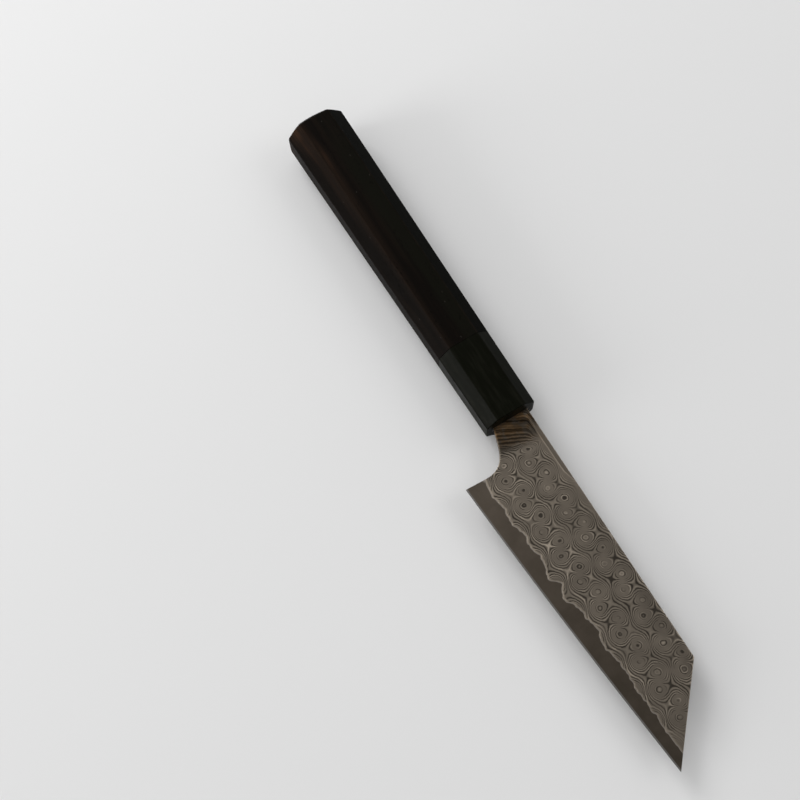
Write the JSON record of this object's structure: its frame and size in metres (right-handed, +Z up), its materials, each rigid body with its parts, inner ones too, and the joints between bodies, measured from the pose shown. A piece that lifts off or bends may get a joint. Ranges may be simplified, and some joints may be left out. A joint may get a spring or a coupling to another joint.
{
  "type": "paring knife",
  "caption": "Paring knife with an angled tip, a layered blade of patterned cladding over a plain core, and a tapered octagonal wooden handle with a black ferrule.",
  "frame": {"origin": "on the resting surface, under the middle of the knife's outline seen from above", "axes": "+X along the knife towards the tip, +Y from the edge towards the spine, +Z up, out of the right face of the blade"},
  "size_m": [0.2106, 0.0304, 0.0156],
  "materials": {
    "core_steel": "satin, etched grey",
    "patterned_steel": "etched layered pattern",
    "ferrule_black": "satin black, horn-like",
    "dark_wood": "oiled, fine pores",
    "dowel_wood": "sawn",
    "resin": "cured resin"
  },
  "bodies": {
    "root": {"blade_core": "core_steel", "cladding_right": "patterned_steel", "cladding_left": "patterned_steel", "ferrule": "ferrule_black", "handle_body": "dark_wood", "tang_dowel": "dowel_wood", "tang_bedding": "resin"}
  },
  "joints": []
}
